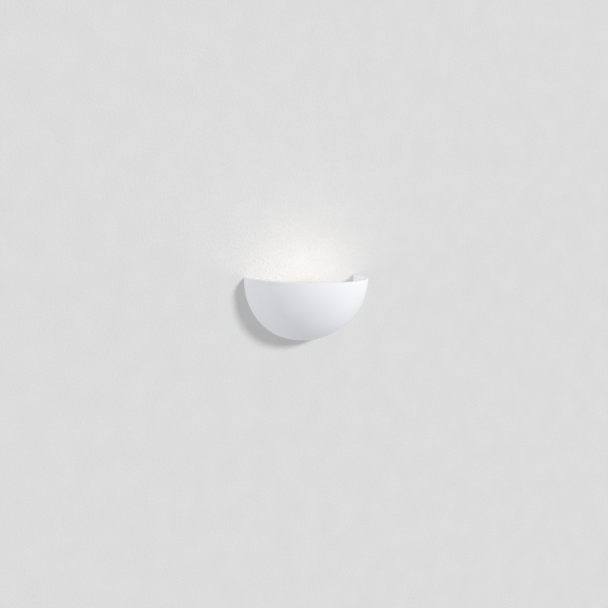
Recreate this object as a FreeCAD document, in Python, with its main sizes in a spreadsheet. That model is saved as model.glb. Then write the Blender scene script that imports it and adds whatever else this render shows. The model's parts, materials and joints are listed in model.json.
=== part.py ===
import FreeCAD, Part
import math
import os
from types import SimpleNamespace

import Sketcher
from FreeCAD import Placement, Rotation, Vector

# Uplighter wall sconce: a cast half bowl that hangs on a steel wall plate, with a tilted
# E27 lampholder and an LED golf-ball bulb hidden inside. Millimetres and degrees.
# Frame: the wall is the plane y = 0, the front faces -Y, +Z is up. The origin is the middle
# of the wall plate's two screw slots, on the wall. The lamp has a frame of its own, whose
# +Z is the lamp's axis and whose origin is the middle of the face the lampholder stands on.

# ---------------------------------------------------------------------------
# Driving dimensions
# ---------------------------------------------------------------------------

SIZES = {
    # bowl: half of a spheroid, cut flat at the mouth and at the wall
    "bowl_radius": 150,
    "bowl_depth": 165,
    "bowl_wall": 8,
    "rim_height": 45,
    "rim_round": 1.2,
    "wall_gap": 1,
    # bosses inside the bowl, and what the bowl hangs on
    "boss_face": 109.5,
    "boss_front": 26,
    "boss_top": 18,
    "boss_bottom": -8,
    "boss_round": 3,
    "pin_height": 5,
    "pin_out": 14,
    "pin_radius": 2.5,
    "pin_head_radius": 5,
    "pin_head_face": 101.1,
    "pin_head_length": 3,
    "pin_thread_radius": 2,
    "pin_thread_length": 10,
    "sleeve_radius": 3.5,
    "insert_radius": 4,
    "insert_length": 13,
    "pad_radius": 3,
    # wall plate: a strap with its two ends bent forward as hook ears
    "plate_half_width": 105,
    "plate_half_height": 22,
    "plate_thickness": 3,
    "ear_depth": 24,
    "bend_inside": 2,
    "corner_round": 4,
    "notch_radius": 3.7,
    "notch_floor_gap": 0.05,
    "slot_place": 84,
    "slot_radius": 2.5,
    "slot_length": 12,
    "cable_place": 34,
    "cable_hole_radius": 7,
    "bush_bore_radius": 4.5,
    "bush_flange_radius": 9,
    "bush_flange": 1.5,
    # screws
    "m4_radius": 2,
    "m4_head_radius": 4,
    "m4_head": 2.6,
    "m3_radius": 1.5,
    "m3_head_radius": 2.7,
    "m3_head": 2,
    "recess_half_width": 0.5,
    "recess_depth": 1.2,
    "screw_end_gap": 0.3,
    # lamp arm: a strip, screwed to the plate, whose lower end is bent forward
    "arm_half_width": 12,
    "arm_thickness": 2.5,
    "arm_top": 18,
    "arm_screw_top": 10,
    "arm_screw_bottom": -9,
    "lamp_tilt": 50,
    "lamp_out": 27,
    "lamp_down": 52,
    "tab_end": 14,
    "arm_corner_round": 4,
    # hollow threaded tube that joins the lampholder to the arm
    "nipple_radius": 5,
    "nipple_bore": 3.5,
    "nipple_below": 9,
    "nipple_above": 7,
    "washer_radius": 9,
    "washer_thickness": 0.8,
    "washer_teeth": 12,
    "nut_circumradius": 8.1,
    "nut_thickness": 4,
    # lampholder
    "cap_radius": 19,
    "cap_height": 20,
    "cap_thread_radius": 17.4,
    "cap_thread_top": 29,
    "cap_floor": 3,
    "cap_neck_radius": 8.5,
    "cap_chamfer": 2.5,
    "barrel_radius": 20,
    "barrel_top": 58,
    "barrel_bore": 13.9,
    "barrel_chamfer": 1,
    "flute_count": 24,
    "flute_radius": 1.3,
    "flute_out": 20.6,
    "flute_bottom": 22,
    "flute_length": 16,
    "insert_body_radius": 15.2,
    "insert_bottom": 16,
    "insert_top": 31.5,
    "terminal_place": 7.5,
    "terminal_half": 2.6,
    "terminal_height": 9,
    "contact_thickness": 0.6,
    # E27 screw thread
    "thread_pitch": 3.63,
    "thread_turns": 3.5,
    "shell_inside": 13.4,
    "shell_outside": 13.8,
    "shell_bottom": 33,
    "shell_top": 56,
    "shell_rib_depth": 0.65,
    "shell_rib_half_width": 0.6,
    "cap_core_radius": 12.15,
    "cap_crest_radius": 13.1,
    "cap_rib_half_width": 0.95,
    "cap_shell_wall": 0.5,
    # bulb, measured from its tip contact
    "bulb_tip": 33.4,
    "bulb_length": 78,
    "globe_radius": 22.5,
    "globe_wall": 1.2,
    "tip_radius": 4.6,
    "tip_edge": 0.8,
    "tip_thickness": 1.8,
    "cap_insulator_height": 7,
    "cap_shell_end": 26.5,
    "housing_top": 85,
    "housing_radius": 21.8,
    "housing_wall": 1.4,
    "housing_base": 26.8,
    "neck_radius": 11.5,
    "neck_length": 14,
    "board_radius": 20.1,
    "board_hole_radius": 1.5,
    "board_bottom": 81.6,
    "board_thickness": 1.4,
    "chip_circle": 12,
    "chip_side": 2.8,
    "chip_height": 0.8,
    "chip_count": 8,
    # terminal block
    "block_place": -48,
    "block_half_width": 15.5,
    "block_half_height": 8.5,
    "block_depth": 15,
    "way_spacing": 10,
    "way_out": 11,
    "way_radius": 2.4,
    "way_bore": 1.6,
    "clamp_place": 4.6,
    "clamp_radius": 1.9,
    # wires and earth point
    "wire_radius": 1.3,
    "wire_apart": 1.7,
    "earth_place": 62,
    "ring_radius": 4.2,
    "ring_thickness": 0.8,
    "ring_washer": 0.6,
    "barrel_wall": 0.7,
}


class Size:
    """A length from the sheet: its value now, and the expression that keeps it bound."""

    def __init__(self, value, text=None):
        self.value = float(value)
        self.text = text or repr(self.value)

    @staticmethod
    def of(other):
        return other if isinstance(other, Size) else Size(other)

    def __add__(self, other):
        other = Size.of(other)
        return Size(self.value + other.value, f"({self.text} + {other.text})")

    def __sub__(self, other):
        other = Size.of(other)
        return Size(self.value - other.value, f"({self.text} - {other.text})")

    def __rsub__(self, other):
        return Size.of(other) - self

    def __mul__(self, factor):
        factor = Size.of(factor)
        return Size(self.value * factor.value, f"({self.text} * {factor.text})")

    def __neg__(self):
        return self * -1

    __radd__ = __add__
    __rmul__ = __mul__


def root(square):
    """The square root of a Size."""
    return Size(math.sqrt(square.value), f"sqrt({square.text})")


doc = FreeCAD.newDocument("uplighter_sconce")
sheet = doc.addObject("Spreadsheet::Sheet", "Sizes")
for row, (name, value) in enumerate(SIZES.items(), start=1):
    sheet.set(f"A{row}", name)
    sheet.set(f"B{row}", str(value))
    sheet.setAlias(f"B{row}", name)
doc.recompute()
s = SimpleNamespace(**{name: Size(value, f"Sizes.{name}") for name, value in SIZES.items()})
subparts = []

# ---------------------------------------------------------------------------
# Helpers: sub-parts and places
# ---------------------------------------------------------------------------


def keep(piece, label):
    """Make piece a sub-part under this name."""
    piece.Label = label
    subparts.append(piece)
    return piece


def place(piece, x, y, z, axis=(0, 0, 1), angle=0):
    """Turn piece about axis and put its origin at x, y, z, bound to the sheet."""
    at = [Size.of(value) for value in (x, y, z)]
    piece.Placement = Placement(Vector(*[size.value for size in at]), Rotation(Vector(*axis), angle))
    for letter, size in zip("xyz", at):
        piece.setExpression(f"Placement.Base.{letter}", size.text)
    return piece


def in_lamp_frame(piece):
    """Put piece, drawn about the lamp's axis, where the lamp is."""
    return place(piece, 0, -s.lamp_out, -s.lamp_down, (1, 0, 0), s.lamp_tilt.value)


def lamp_point(x, z):
    """The point of the row's frame at x and z of the lamp's frame."""
    tilt = math.radians(s.lamp_tilt.value)
    return (x, -s.lamp_out.value - z * math.sin(tilt), -s.lamp_down.value + z * math.cos(tilt))


def group(label, pieces):
    """Several separate solids that share one name."""
    compound = doc.addObject("Part::Compound", label)
    compound.Links = pieces
    return keep(compound, label)


# ---------------------------------------------------------------------------
# Helpers: sketches and features
# ---------------------------------------------------------------------------


def new_body(name):
    return doc.addObject("PartDesign::Body", name)


def new_sketch(body, role, offset=0):
    """A sketch on one of the body's own origin planes, moved along its normal by offset."""
    sketch = body.newObject("Sketcher::SketchObject", "Sketch")
    plane = next(item for item in body.Origin.OriginFeatures if item.Role == role)
    sketch.AttachmentSupport = [(plane, "")]
    sketch.MapMode = "FlatFace"
    offset = Size.of(offset)
    sketch.AttachmentOffset = Placement(Vector(0, 0, offset.value), Rotation())
    sketch.setExpression("AttachmentOffset.Base.z", offset.text)
    return sketch


def bind(sketch, kind, size, *where):
    """A dimension of the sketch, bound to the sheet."""
    number = sketch.addConstraint(Sketcher.Constraint(kind, *where, size.value))
    sketch.setExpression(f"Constraints[{number}]", size.text)


def fix_point(sketch, line, end, x, y):
    """Tie one end of a sketch line to x, y from the sketch's origin."""
    for size, kind, axis in ((x, "DistanceX", -2), (y, "DistanceY", -1)):
        if size.value == 0:
            sketch.addConstraint(Sketcher.Constraint("PointOnObject", line, end, axis))
        else:
            bind(sketch, kind, size, -1, 1, line, end)


def arc_between(start, end, radius):
    """Arc from start to end, its centre on the left of the way for a positive radius."""
    half = (end - start) * 0.5
    reach = math.sqrt(max(radius * radius - half.dot(half), 0.0))
    left = Vector(-half.y, half.x, 0).normalize()
    centre = start + half + left * (reach if radius > 0 else -reach)
    out = start + half - centre
    side = out.normalize() if out.Length > 1e-9 else left * (-1 if radius > 0 else 1)
    return Part.Arc(start, centre + side * abs(radius), end)


def draw_loop(sketch, corners):
    """Closed outline. A corner is (x, y), or (x, y, radius) for an arc that ends there."""
    corners = [tuple(Size.of(value) for value in corner) for corner in corners]
    points = [Vector(corner[0].value, corner[1].value, 0) for corner in corners]
    edges = []
    for index, corner in enumerate(corners):
        start, end = points[index - 1], points[index]
        if len(corner) == 3:
            edges.append(sketch.addGeometry(arc_between(start, end, corner[2].value), False))
        else:
            edges.append(sketch.addGeometry(Part.LineSegment(start, end), False))
    ends = []
    for index, corner in enumerate(corners):
        # an arc that turns right is stored the other way round, so its ends swap
        ends.append((2, 1) if len(corner) == 3 and corner[2].value < 0 else (1, 2))
    for index, corner in enumerate(corners):
        after = (index + 1) % len(corners)
        joint = (edges[index], ends[index][1], edges[after], ends[after][0])
        sketch.addConstraint(Sketcher.Constraint("Coincident", *joint))
        fix_point(sketch, edges[index], ends[index][1], corner[0], corner[1])
        if len(corner) == 3:
            radius = corner[2] if corner[2].value > 0 else -corner[2]
            bind(sketch, "Radius", radius, edges[index])


def draw_circle(sketch, x, y, radius):
    x, y, radius = Size.of(x), Size.of(y), Size.of(radius)
    centre = Vector(x.value, y.value, 0)
    circle = sketch.addGeometry(Part.Circle(centre, Vector(0, 0, 1), radius.value), False)
    fix_point(sketch, circle, 3, x, y)
    bind(sketch, "Radius", radius, circle)


def draw_slot(sketch, x, y, radius, length):
    """Slot along the sketch's x, with round ends, length from end to end."""
    run = length * 0.5 - radius
    draw_loop(sketch, [
        (x + run, y - radius),
        (x + run + radius, y, radius),
        (x + run, y + radius, radius),
        (x - run, y + radius),
        (x - run - radius, y, radius),
        (x - run, y - radius, radius),
    ])


def turn(body, corners):
    """Solid of revolution about the body's z, from an outline in x and z."""
    sketch = new_sketch(body, "XZ_Plane")
    draw_loop(sketch, corners)
    turned = body.newObject("PartDesign::Revolution", "Turned")
    turned.Profile = sketch
    turned.ReferenceAxis = (sketch, ["V_Axis"])
    turned.Angle = 360
    return turned


def pad(body, sketch, length):
    """Material along the sketch's normal."""
    feature = body.newObject("PartDesign::Pad", "Pad")
    feature.Profile = sketch
    feature.setExpression("Length", Size.of(length).text)
    return feature


def pocket(body, sketch, depth, along_normal=False):
    """Cut from the sketch, against its normal unless along_normal."""
    feature = body.newObject("PartDesign::Pocket", "Pocket")
    feature.Profile = sketch
    feature.setExpression("Length", Size.of(depth).text)
    feature.Reversed = along_normal
    return feature


def polar(body, feature, count):
    """The feature repeated round the body's z."""
    pattern = body.newObject("PartDesign::PolarPattern", "Pattern")
    pattern.Originals = [feature]
    pattern.Axis = (next(i for i in body.Origin.OriginFeatures if i.Role == "Z_Axis"), [""])
    pattern.Angle = 360
    pattern.setExpression("Occurrences", count.text)
    body.Tip = pattern
    return pattern


def round_edges(body, base, radius, chosen):
    """Fillet the edges of base whose middle point passes the test chosen."""
    doc.recompute()
    names = []
    for number, edge in enumerate(base.Shape.Edges, start=1):
        middle = edge.valueAt((edge.FirstParameter + edge.LastParameter) / 2)
        if chosen(edge, middle):
            names.append(f"Edge{number}")
    fillet = body.newObject("PartDesign::Fillet", "Rounds")
    fillet.Base = (base, names)
    fillet.setExpression("Radius", radius.text)
    return fillet


def turned_part(label, corners, lamp=False):
    """A sub-part that is one solid of revolution."""
    body = new_body(label)
    turn(body, corners)
    if lamp:
        in_lamp_frame(body)
    return keep(body, label)


def ring(inside, outside, bottom, top):
    """Outline of a plain ring or tube."""
    return [(inside, bottom), (outside, bottom), (outside, top), (inside, top)]


def block(name, low, high):
    """Box from its lowest to its highest corner, bound to the sheet."""
    low = [Size.of(value) for value in low]
    high = [Size.of(value) for value in high]
    box = doc.addObject("Part::Box", name)
    for side, start, end in zip(("Length", "Width", "Height"), low, high):
        box.setExpression(side, (end - start).text)
    return place(box, *low)


def rod(name, radius, length, x, y, z, axis=(0, 0, 1), angle=0):
    """Cylinder along its own z from x, y, z, turned about axis by angle."""
    cylinder = doc.addObject("Part::Cylinder", name)
    cylinder.setExpression("Radius", Size.of(radius).text)
    cylinder.setExpression("Height", Size.of(length).text)
    return place(cylinder, x, y, z, axis, angle)


def cut(name, base, tools):
    """Base with every tool taken away."""
    result = base
    for number, tool in enumerate(tools):
        step = doc.addObject("Part::Cut", f"{name}_cut_{number}")
        step.Base = result
        step.Tool = tool
        result = step
    return result


FORWARD = ((1, 0, 0), 90)
RIGHTWARD = ((0, 1, 0), 90)
LEFTWARD = ((0, 1, 0), -90)


def screw(name, radius, head_radius, head, length, x, y, z, direction=FORWARD):
    """Pan-head screw with a cross recess. Its head sits at x, y, z and faces the direction."""
    body = new_body(name)
    bevel = head * 0.35
    turn(body, [
        (0, -length), (radius - 0.3, -length), (radius, 0.3 - length), (radius, 0),
        (head_radius, 0), (head_radius, head - bevel), (head_radius - bevel, head), (0, head),
    ])
    arm = head_radius * 0.6
    for long_x, long_y in ((arm, s.recess_half_width), (s.recess_half_width, arm)):
        sketch = new_sketch(body, "XY_Plane", head)
        draw_loop(sketch, [(-long_x, -long_y), (long_x, -long_y), (long_x, long_y), (-long_x, long_y)])
        pocket(body, sketch, s.recess_depth)
    return place(body, x, y, z, *direction)


# ---------------------------------------------------------------------------
# Bowl, and what it hangs on
# ---------------------------------------------------------------------------


def half_spheroid(name, radius, depth, back):
    """Lower half of a spheroid about Y, in front of the plane y = -back, mouth at z = 0."""
    body = new_body(name)
    sketch = new_sketch(body, "XY_Plane")
    low = -depth
    ellipse = Part.Ellipse(Vector(0, low.value, 0), Vector(radius.value, 0, 0), Vector(0, 0, 0))
    last = math.acos(back.value / depth.value)
    arc = Part.ArcOfEllipse(ellipse, 0, last)
    corner = arc.EndPoint
    curve = sketch.addGeometry(arc, False)
    back_line = sketch.addGeometry(Part.LineSegment(corner, Vector(0, -back.value, 0)), False)
    middle, bottom = Vector(0, -back.value, 0), Vector(0, low.value, 0)
    axis_line = sketch.addGeometry(Part.LineSegment(middle, bottom), False)
    sketch.exposeInternalGeometry(curve)
    minor_axis = axis_line + 2
    for joint in ((curve, 2, back_line, 1), (back_line, 2, axis_line, 1), (axis_line, 2, curve, 1)):
        sketch.addConstraint(Sketcher.Constraint("Coincident", *joint))
    sketch.addConstraint(Sketcher.Constraint("Coincident", curve, 3, -1, 1))
    sketch.addConstraint(Sketcher.Constraint("Horizontal", back_line))
    fix_point(sketch, axis_line, 1, Size(0), -back)
    fix_point(sketch, axis_line, 2, Size(0), low)
    bind(sketch, "Distance", 2 * radius, minor_axis)
    half = body.newObject("PartDesign::Revolution", "Half")
    half.Profile = sketch
    half.ReferenceAxis = (sketch, ["V_Axis"])
    half.Angle = 180
    return place(body, 0, 0, s.rim_height)


def make_shade():
    """Cast bowl: outer form less inner form. The bosses are left standing in the hollow."""
    outer = half_spheroid("bowl_outside", s.bowl_radius, s.bowl_depth, s.wall_gap)
    inner_radius, inner_depth = s.bowl_radius - s.bowl_wall, s.bowl_depth - s.bowl_wall
    inner = half_spheroid("bowl_inside", inner_radius, inner_depth, s.wall_gap)
    bosses = []
    ends = (("left", -s.bowl_radius, -s.boss_face), ("right", s.boss_face, s.bowl_radius))
    for side, left, right in ends:
        boss = block(f"boss_{side}", (left, -s.boss_front, s.boss_bottom), (right, 0, s.boss_top))
        rounded = doc.addObject("Part::Fillet", f"boss_{side}_round")
        doc.recompute()
        rounded.Base = boss
        rounded.Edges = [(number, s.boss_round.value, s.boss_round.value)
                         for number, edge in enumerate(boss.Shape.Edges, start=1)
                         if edge.BoundBox.YMax < -s.wall_gap.value]
        bosses.append(rounded)
    hollow = cut("hollow", inner, bosses)
    sockets = []
    for direction, side in ((RIGHTWARD, 1), (LEFTWARD, -1)):
        sockets.append(rod("socket", s.insert_radius, s.insert_length, side * s.boss_face, -s.pin_out,
                           s.pin_height, *direction))
    bowl = cut("bowl", outer, [hollow] + sockets)
    doc.recompute()
    rim = [(number, s.rim_round.value, s.rim_round.value)
           for number, edge in enumerate(bowl.Shape.Edges, start=1)
           if edge.BoundBox.ZMin > s.rim_height.value - 0.01 and edge.BoundBox.YLength > 10]
    shade = doc.addObject("Part::Fillet", "shade")
    shade.Base = bowl
    shade.Edges = rim
    return keep(shade, "shade")


def make_hanger():
    """Inserts in the bosses, headed shoulder screws in them, and sleeves on the shoulders."""
    shoulder = s.boss_face - s.pin_head_face
    inserts, pins, sleeves = [], [], []
    for direction, side in ((RIGHTWARD, 1), (LEFTWARD, -1)):
        where = (side * s.boss_face, -s.pin_out, s.pin_height) + direction
        insert = new_body("insert")
        turn(insert, ring(s.pin_thread_radius, s.insert_radius, 0, s.insert_length))
        inserts.append(place(insert, *where))
        pin = new_body("pin")
        turn(pin, [
            (0, -shoulder - s.pin_head_length), (s.pin_head_radius - 0.6, -shoulder - s.pin_head_length),
            (s.pin_head_radius, 0.6 - shoulder - s.pin_head_length), (s.pin_head_radius, -shoulder),
            (s.pin_radius, -shoulder), (s.pin_radius, 0), (s.pin_thread_radius, 0),
            (s.pin_thread_radius, s.pin_thread_length), (0, s.pin_thread_length),
        ])
        sketch = new_sketch(pin, "XY_Plane", -shoulder - s.pin_head_length)
        across = s.pin_head_radius + 1
        draw_loop(sketch, [(-across, -0.6), (across, -0.6), (across, 0.6), (-across, 0.6)])
        pocket(pin, sketch, 1.5, along_normal=True)
        pins.append(place(pin, *where))
        sleeve = new_body("sleeve")
        turn(sleeve, ring(s.pin_radius, s.sleeve_radius, -shoulder, 0))
        sleeves.append(place(sleeve, *where))
    group("shade_inserts", inserts)
    group("hanger_screws", pins)
    group("hanger_sleeves", sleeves)


def make_wall_pads():
    """Felt discs on the middle of the bowl's back edge, between it and the wall."""
    middle = s.bowl_radius.value - s.bowl_wall.value / 2
    pads = []
    for angle in (10, 55, 125, 170):
        x = middle * math.cos(math.radians(angle))
        z = s.rim_height.value - middle * math.sin(math.radians(angle))
        pads.append(rod("pad", s.pad_radius, s.wall_gap, x, 0, z, *FORWARD))
    group("wall_pads", pads)


# ---------------------------------------------------------------------------
# Wall plate and what is fixed to it
# ---------------------------------------------------------------------------


def make_wall_plate():
    """Strap bent into a shallow channel, with holes in its back and a notch in each ear."""
    body = new_body("wall_plate")
    wide, thick, deep = s.plate_half_width, s.plate_thickness, s.ear_depth
    outline = new_sketch(body, "XY_Plane", -s.plate_half_height)
    draw_loop(outline, [
        (wide, 0), (-wide, 0), (-wide, -deep), (thick - wide, -deep),
        (thick - wide, -thick), (wide - thick, -thick), (wide - thick, -deep), (wide, -deep),
    ])
    strap = pad(body, outline, 2 * s.plate_half_height)
    inside = s.plate_half_width.value - s.plate_thickness.value

    def upright(edge, middle):
        return edge.BoundBox.ZLength > 10 and edge.BoundBox.XLength < 0.01

    def outer_bend(edge, middle):
        return upright(edge, middle) and abs(middle.y) < 0.01

    def inner_bend(edge, middle):
        at_ear = abs(abs(middle.x) - inside) < 0.01
        return upright(edge, middle) and at_ear and middle.y > -thick.value - 0.01

    bent = round_edges(body, strap, s.bend_inside + s.plate_thickness, outer_bend)
    bent = round_edges(body, bent, s.bend_inside, inner_bend)

    def ear_corner(edge, middle):
        return edge.BoundBox.XLength > 2 and edge.BoundBox.XLength < 4 and abs(middle.y + deep.value) < 0.01

    round_edges(body, bent, s.corner_round, ear_corner)
    holes = new_sketch(body, "XZ_Plane")
    for side in (1, -1):
        draw_slot(holes, side * s.slot_place, Size(0), s.slot_radius, s.slot_length)
    draw_circle(holes, s.cable_place, 0, s.cable_hole_radius)
    draw_circle(holes, 0, s.arm_screw_top, s.m4_radius)
    draw_circle(holes, 0, s.arm_screw_bottom, s.m4_radius)
    draw_circle(holes, s.earth_place, 0, s.m4_radius)
    for side in (1, -1):
        draw_circle(holes, s.block_place + side * 0.5 * s.way_spacing, 0, s.m3_radius)
    pocket(body, holes, s.plate_thickness, along_normal=True)
    centre = s.pin_height + s.notch_radius - s.sleeve_radius - s.notch_floor_gap
    notch = new_sketch(body, "YZ_Plane", -s.plate_half_width)
    draw_loop(notch, [
        (-s.pin_out + s.notch_radius, s.plate_half_height + 1),
        (-s.pin_out - s.notch_radius, s.plate_half_height + 1),
        (-s.pin_out - s.notch_radius, centre),
        (-s.pin_out, centre - s.notch_radius, s.notch_radius),
        (-s.pin_out + s.notch_radius, centre, s.notch_radius),
    ])
    pocket(body, notch, 2 * s.plate_half_width, along_normal=True)
    keep(body, "wall_plate")


def make_cable_bush():
    flange_back = s.plate_thickness
    body = turned_part("cable_bush", [
        (s.bush_bore_radius, 0), (s.cable_hole_radius, 0), (s.cable_hole_radius, flange_back),
        (s.bush_flange_radius, flange_back), (s.bush_flange_radius, flange_back + s.bush_flange),
        (s.bush_bore_radius, flange_back + s.bush_flange),
    ])
    place(body, s.cable_place, 0, 0, *FORWARD)


def lamp_plane(body):
    """A sketch square to the lamp's axis, on the face that the lampholder stands on."""
    sketch = new_sketch(body, "XY_Plane")
    tilt = Rotation(Vector(1, 0, 0), s.lamp_tilt.value)
    sketch.AttachmentOffset = Placement(Vector(0, -s.lamp_out.value, -s.lamp_down.value), tilt)
    sketch.setExpression("AttachmentOffset.Base.y", (-s.lamp_out).text)
    sketch.setExpression("AttachmentOffset.Base.z", (-s.lamp_down).text)
    return sketch


def make_lamp_arm():
    """Strip drawn in profile: a leg on the plate, then the tab that carries the lampholder."""
    body = new_body("lamp_arm")
    across, along = math.sin(math.radians(s.lamp_tilt.value)), math.cos(math.radians(s.lamp_tilt.value))
    rear = -s.plate_thickness
    front = rear - s.arm_thickness
    under_out = s.lamp_out - s.arm_thickness * across
    under_down = s.lamp_down + s.arm_thickness * along
    front_bend = (s.lamp_out + front) * (across / along) - s.lamp_down
    rear_bend = (under_out + rear) * (across / along) - under_down
    profile = new_sketch(body, "YZ_Plane", -s.arm_half_width)
    draw_loop(profile, [
        (rear, s.arm_top),
        (front, s.arm_top),
        (front, front_bend),
        (-s.lamp_out - s.tab_end * along, -s.lamp_down - s.tab_end * across),
        (-under_out - s.tab_end * along, -under_down - s.tab_end * across),
        (rear, rear_bend),
    ])
    strip = pad(body, profile, 2 * s.arm_half_width)

    def end_corner(edge, middle):
        return edge.BoundBox.XLength < 0.01 and edge.Length < s.arm_thickness.value + 0.01

    def bend_line(edge, middle):
        return edge.BoundBox.XLength > 10 and rear_bend.value - 1 < middle.z < front_bend.value + 1

    rounded = round_edges(body, strip, s.arm_corner_round, end_corner)
    round_edges(body, rounded, s.arm_thickness, bend_line)
    holes = new_sketch(body, "XZ_Plane", s.plate_thickness)
    draw_circle(holes, 0, s.arm_screw_top, s.m4_radius)
    draw_circle(holes, 0, s.arm_screw_bottom, s.m4_radius)
    pocket(body, holes, s.arm_thickness, along_normal=True)
    nipple_hole = lamp_plane(body)
    draw_circle(nipple_hole, 0, 0, s.nipple_radius)
    pocket(body, nipple_hole, s.arm_thickness)
    keep(body, "lamp_arm")


def make_plate_screws():
    """The arm's two screws and the earth screw, all tapped into the plate."""
    length = s.plate_thickness + s.arm_thickness - s.screw_end_gap
    front = -s.plate_thickness - s.arm_thickness
    group("arm_screws", [
        screw("arm_screw", s.m4_radius, s.m4_head_radius, s.m4_head, length, 0, front, height)
        for height in (s.arm_screw_top, s.arm_screw_bottom)
    ])
    stack = s.ring_thickness + s.ring_washer
    length = s.plate_thickness + stack - s.screw_end_gap
    earth_screw = screw("earth_screw", s.m4_radius, s.m4_head_radius, s.m4_head, length,
                        s.earth_place, -s.plate_thickness - stack, 0)
    keep(earth_screw, "earth_screw")


def toothed_washer(label, bore, radius, thickness):
    """Ring with small notches all round, drawn on its own z."""
    body = new_body(label)
    turn(body, ring(bore, radius, 0, thickness))
    sketch = new_sketch(body, "XY_Plane", thickness)
    inner = bore + (radius - bore) * 0.6
    draw_loop(sketch, [(inner, -0.4), (radius + 1, -0.4), (radius + 1, 0.4), (inner, 0.4)])
    polar(body, pocket(body, sketch, thickness), s.washer_teeth)
    return keep(body, label)


def earth_wire_out():
    """How far in front of the wall the earth wire's end lies: its barrel touches the eye."""
    return s.plate_thickness + s.ring_washer + s.wire_radius + s.barrel_wall


def make_earth_parts():
    """Toothed washer, and the crimped ring: an eye, and the barrel that holds the wire."""
    washer = toothed_washer("earth_washer", s.m4_radius, s.ring_radius, s.ring_washer)
    place(washer, s.earth_place, -s.plate_thickness, 0, *FORWARD)
    back = s.plate_thickness + s.ring_washer
    eye = new_body("eye")
    turn(eye, ring(s.m4_radius, s.ring_radius, 0, s.ring_thickness))
    place(eye, s.earth_place, -back, 0, *FORWARD)
    neck = block("neck", (s.earth_place - 1.6, -back - s.ring_thickness, s.ring_radius - 0.6),
                 (s.earth_place + 1.6, -back, s.ring_radius + 3))
    barrel = new_body("barrel")
    turn(barrel, ring(s.wire_radius, s.wire_radius + s.barrel_wall, 0, 6))
    place(barrel, s.earth_place, -earth_wire_out(), s.ring_radius + 2)
    fused = doc.addObject("Part::MultiFuse", "earth_ring")
    fused.Shapes = [eye, neck, barrel]
    keep(fused, "earth_ring")


def make_terminal_block():
    """Moulded three-way block with two fixing screws."""
    body = new_body("terminal_block")
    wide, high = s.block_half_width, s.block_half_height
    outline = new_sketch(body, "XZ_Plane", s.plate_thickness)
    left, right = s.block_place - wide, s.block_place + wide
    draw_loop(outline, [(left, -high), (right, -high), (right, high), (left, high)])
    moulded = pad(body, outline, s.block_depth)
    round_edges(body, moulded, Size(1), lambda edge, middle: edge.BoundBox.YLength > 10)
    ways = new_sketch(body, "XY_Plane", -high)
    fronts = new_sketch(body, "XZ_Plane", s.plate_thickness + s.block_depth)
    fixings = new_sketch(body, "XZ_Plane", s.plate_thickness)
    for across in way_places():
        draw_circle(ways, across, -s.way_out, s.way_radius)
        for side in (-1, 1):
            draw_circle(fronts, across, side * s.clamp_place, s.clamp_radius)
    for across in fixing_places():
        draw_circle(fixings, across, 0, s.m3_radius)
    pocket(body, ways, 2 * high, along_normal=True)
    pocket(body, fronts, s.plate_thickness + s.block_depth - s.way_out)
    pocket(body, fixings, s.block_depth, along_normal=True)
    keep(body, "terminal_block")
    front = s.plate_thickness + s.block_depth
    length = front - s.screw_end_gap
    group("terminal_fixings", [
        screw("fixing", s.m3_radius, s.m3_head_radius, s.m3_head, length, across, -front, 0)
        for across in fixing_places()
    ])


def way_places():
    """The x of the block's three ways, and of the fixing screws between them."""
    return [s.block_place + step * s.way_spacing for step in (-1, 0, 1)]


def fixing_places():
    return [s.block_place + step * s.way_spacing for step in (-0.5, 0.5)]


def make_terminal_ways():
    """Brass insert of each way, and the two screws that clamp the wires in it."""
    high = s.block_half_height
    thread = s.clamp_radius - 0.4
    inserts, clamps = [], []
    for across in way_places():
        tube = rod("tube", s.way_radius, 2 * high - 2, across, -s.way_out, 1 - high)
        bore = rod("bore", s.way_bore, 2 * high, across, -s.way_out, -high)
        taps = []
        for side in (-1, 1):
            height = side * s.clamp_place
            taps.append(rod("tap", thread, s.way_radius + 1, across, -s.way_out, height, *FORWARD))
            clamps.append(screw("clamp", thread, s.clamp_radius - 0.1, Size(1.4), Size(1.5),
                                across, -s.way_out - s.way_radius - 0.8, height))
        inserts.append(cut("way", tube, [bore] + taps))
    group("terminal_inserts", inserts)
    group("terminal_screws", clamps)


# ---------------------------------------------------------------------------
# Wires: straight runs joined by tangent arcs
# ---------------------------------------------------------------------------


def wire(label, points):
    """Round wire through the points. Each corner's arc is as large as its two runs allow."""
    points = [Vector(*point) for point in points]
    radius = s.wire_radius.value
    edges, start, tightest = [], points[0], math.inf
    for before, corner, after in zip(points, points[1:], points[2:]):
        arriving, leaving = corner - before, after - corner
        cutback = 0.45 * min(arriving.Length, leaving.Length)
        bend = cutback / math.tan(arriving.getAngle(leaving) / 2)
        tightest = min(tightest, bend)
        arriving.normalize()
        leaving.normalize()
        first, last = corner - arriving * cutback, corner + leaving * cutback
        centre = first + (leaving - arriving * arriving.dot(leaving)).normalize() * bend
        middle = centre + (corner - centre).normalize() * bend
        edges += [Part.makeLine(start, first), Part.Arc(first, middle, last).toShape()]
        start = last
    edges.append(Part.makeLine(start, points[-1]))
    path = Part.Wire(edges)
    section = Part.Wire(Part.makeCircle(radius, points[0], points[1] - points[0]))
    tube = path.makePipeShell([section], True, True)
    expected = math.pi * radius * radius * path.Length
    print(f"{label}: length {path.Length:.1f}, tightest bend {tightest:.1f},"
          f" volume {tube.Volume:.0f} against {expected:.0f}")
    piece = doc.addObject("Part::Feature", label)
    piece.Shape = tube
    piece.Placement = Placement()
    return keep(piece, label)


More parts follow.
